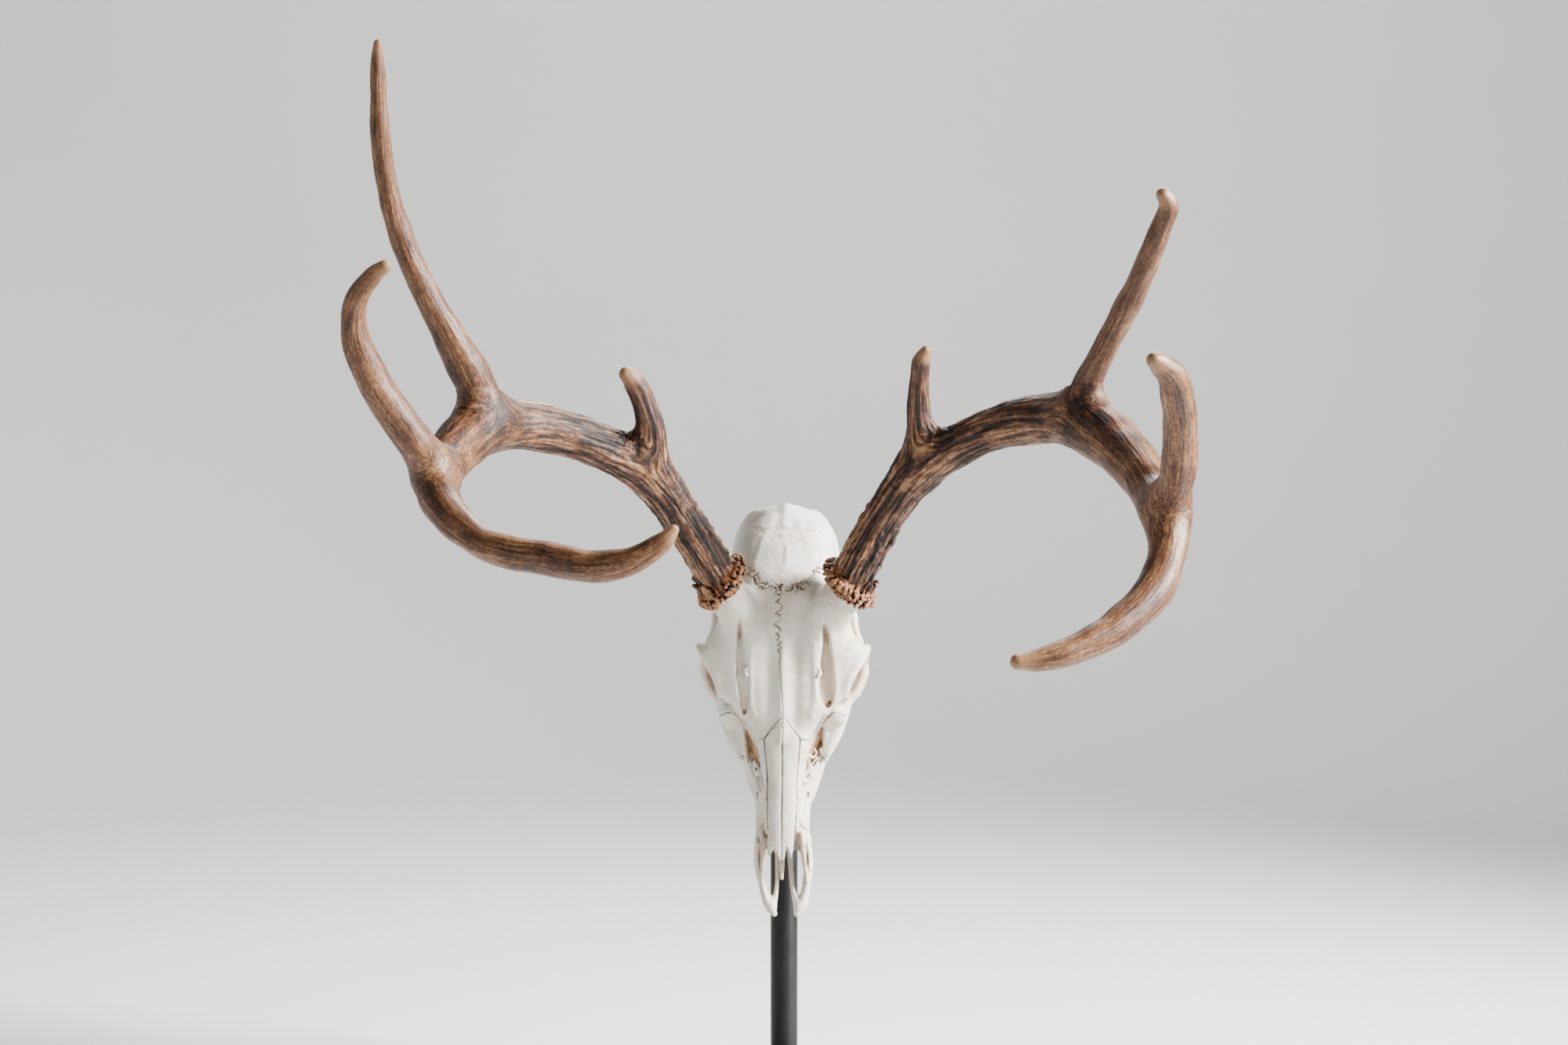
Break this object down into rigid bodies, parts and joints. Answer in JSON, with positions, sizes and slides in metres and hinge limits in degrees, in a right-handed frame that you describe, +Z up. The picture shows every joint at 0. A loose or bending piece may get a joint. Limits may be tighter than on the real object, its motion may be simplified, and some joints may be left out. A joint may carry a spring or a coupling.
{
  "type": "mounted deer skull with antlers",
  "caption": "Life-size white-tailed buck skull without its lower jaw, with both branching antlers, held nose down by a rod on a flat steel base.",
  "frame": {"origin": "on the floor at the underside of the stand's base, straight below the most forward point of the forehead", "axes": "+X the deer's left, -Y the way the face looks, +Z up, with the nose pointing down"},
  "size_m": [0.4799, 0.5079, 0.7023],
  "materials": {
    "bone": "dry cleaned bone, off-white with faint warm and grey patches",
    "antler": "dry brown antler, rough and grooved at the burr, paler and smoother towards the tips",
    "stand_steel": "satin black powder coat",
    "pad_rubber": "matte black rubber"
  },
  "bodies": {
    "root": {"cranium": "bone", "frontal_left": "bone", "frontal_right": "bone", "nasal_left": "bone", "nasal_right": "bone", "maxilla_left": "bone", "maxilla_right": "bone", "zygomatic_left": "bone", "zygomatic_right": "bone", "premaxilla_left": "bone", "premaxilla_right": "bone", "vomer": "bone", "antler_left_beam_base": "antler", "antler_left_beam_middle": "antler", "antler_left_beam_fore": "antler", "antler_left_beam_tip": "antler", "antler_left_tine_brow": "antler", "antler_left_tine_second": "antler", "antler_left_tine_third": "antler", "antler_right_beam_base": "antler", "antler_right_beam_middle": "antler", "antler_right_beam_fore": "antler", "antler_right_beam_tip": "antler", "antler_right_tine_brow": "antler", "antler_right_tine_second": "antler", "antler_right_tine_third": "antler", "stand_base": "stand_steel", "stand_post": "stand_steel", "stand_hook": "stand_steel", "stand_arm": "stand_steel", "stand_pad": "pad_rubber"}
  },
  "joints": []
}
